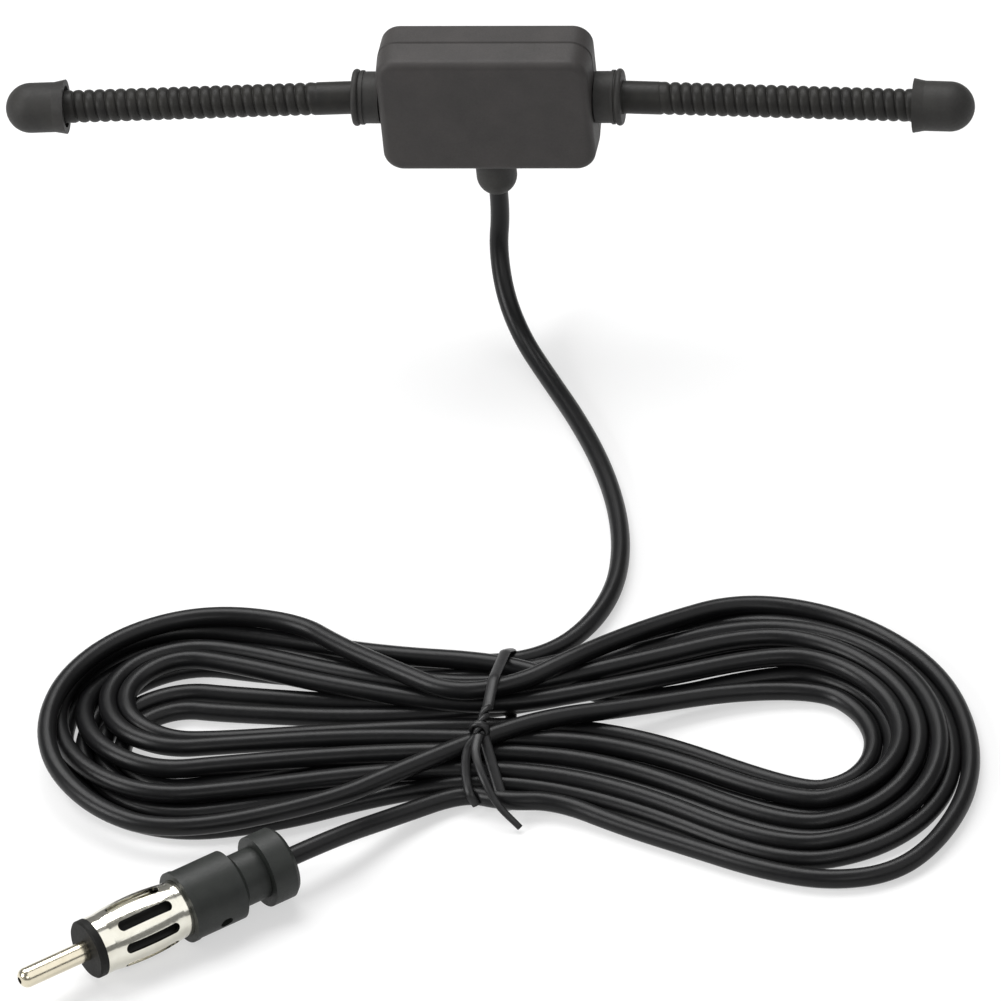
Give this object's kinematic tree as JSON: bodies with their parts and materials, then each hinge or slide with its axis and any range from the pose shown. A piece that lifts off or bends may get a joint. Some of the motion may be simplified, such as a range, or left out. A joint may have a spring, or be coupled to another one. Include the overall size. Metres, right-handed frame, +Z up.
{
  "type": "car windshield radio antenna",
  "caption": "Stick-on car radio antenna: a small two-part housing with two flexible ribbed arms, and a coax cable tied in a hank that ends in an aerial plug.",
  "frame": {"origin": "centre of the adhesive pad's outer face", "axes": "+Y out of the pad, towards the glass; +X along the arms; +Z up"},
  "size_m": [0.162, 0.182, 0.0528],
  "materials": {
    "housing": "charcoal moulded ABS with a fine texture",
    "foam": "black foam adhesive pad",
    "board": "green coated board",
    "ferrite": "grey ferrite",
    "copper": "copper wire",
    "chips": "ceramic chips",
    "solder": "bright solder",
    "rubber": "grey-black moulded rubber",
    "sleeve": "black shrunk sleeve",
    "core": "natural nylon rod",
    "cable": "black satin PVC sheath",
    "tie": "black plastic coated wire",
    "plug_plastic": "grey-black moulded plastic",
    "insulator": "black moulded insulator",
    "nickel": "bright nickel plated sheet brass",
    "pin": "nickel plated brass"
  },
  "bodies": {
    "root": {"front_shell": "housing", "rear_shell": "housing", "adhesive_pad": "foam", "circuit_board": "board", "coil_core": "ferrite", "coil_winding": "copper", "left_arm_winding": "copper", "right_arm_winding": "copper", "left_arm_lead": "copper", "right_arm_lead": "copper", "cable_conductor": "copper", "plug_conductor": "copper", "chip_parts": "chips", "solder_joints": "solder", "left_arm_grommet": "rubber", "right_arm_grommet": "rubber", "left_arm_cap": "rubber", "right_arm_cap": "rubber", "cable_grommet": "rubber", "left_arm_sleeve": "sleeve", "right_arm_sleeve": "sleeve", "left_arm_core": "core", "right_arm_core": "core", "cable_box_end": "cable", "cable_lead": "cable", "cable_hank": "cable", "cable_tail": "cable", "cable_plug_end": "cable", "twist_tie": "tie", "plug_body": "plug_plastic", "plug_cap": "plug_plastic", "plug_insulator": "insulator", "plug_barrel": "nickel", "plug_ferrule": "nickel", "plug_pin": "pin"}
  },
  "joints": []
}
